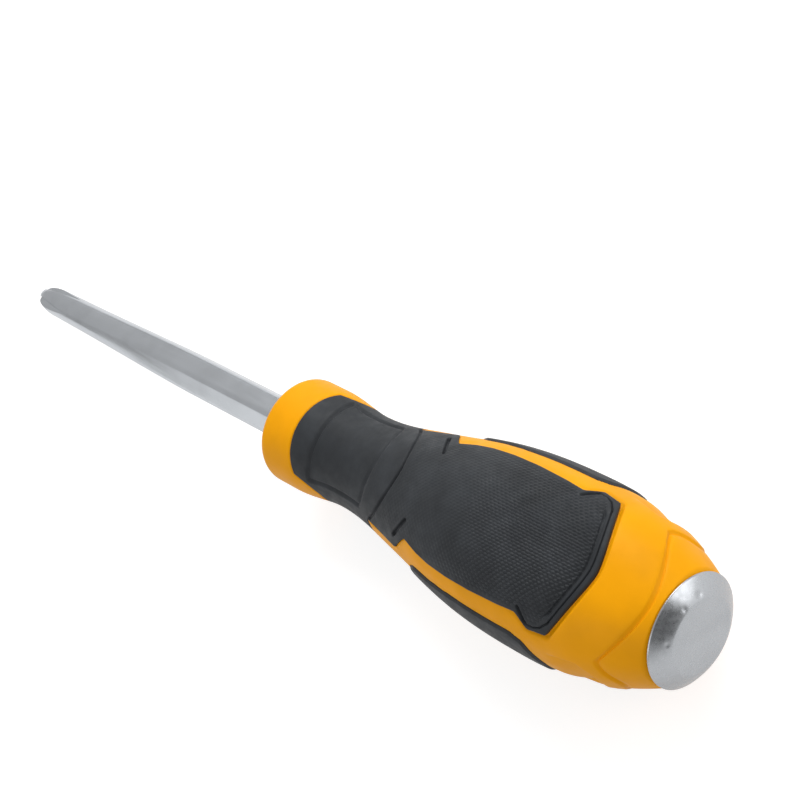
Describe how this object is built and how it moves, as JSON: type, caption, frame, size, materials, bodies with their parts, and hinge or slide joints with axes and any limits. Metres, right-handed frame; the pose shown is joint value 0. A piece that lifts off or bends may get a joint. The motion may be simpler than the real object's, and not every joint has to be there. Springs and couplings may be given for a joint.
{
  "type": "double-ended screwdriver",
  "caption": "Screwdriver with a reversible hexagon blade, cross tip at one end and flat tip at the other, in a two-colour soft-grip handle with a steel strike cap.",
  "frame": {"origin": "centre of the flat strike face at the butt of the handle", "axes": "+X along the handle's axis out of the strike face, so the blade leaves toward -X; +Z through the middle of the upper palm panel; +Y through the left side insert"},
  "size_m": [0.1993, 0.0342, 0.0336],
  "materials": {
    "blade_steel": "satin chrome plate over a ground hexagon bar",
    "sleeve_steel": "plain drawn steel",
    "spring_steel": "oiled spring wire",
    "rod_steel": "plain ground rod",
    "cap_steel": "satin plated steel with small dings",
    "hard_plastic": "satin yellow-orange moulded plastic",
    "soft_grip": "matt black soft grip with a fine woven texture on the palms"
  },
  "bodies": {
    "handle": {"handle_core": "hard_plastic", "grip_overmould": "soft_grip", "side_insert_left": "soft_grip", "side_insert_right": "soft_grip", "strike_cap": "cap_steel", "impact_rod": "rod_steel", "socket_sleeve": "sleeve_steel", "retaining_ring": "spring_steel"},
    "blade": {"blade": "blade_steel"}
  },
  "joints": [
    {"name": "blade_slide", "type": "slide", "parent": "handle", "child": "blade", "axis": [-1, 0, 0], "range_m": [0, 0.0515]}
  ]
}
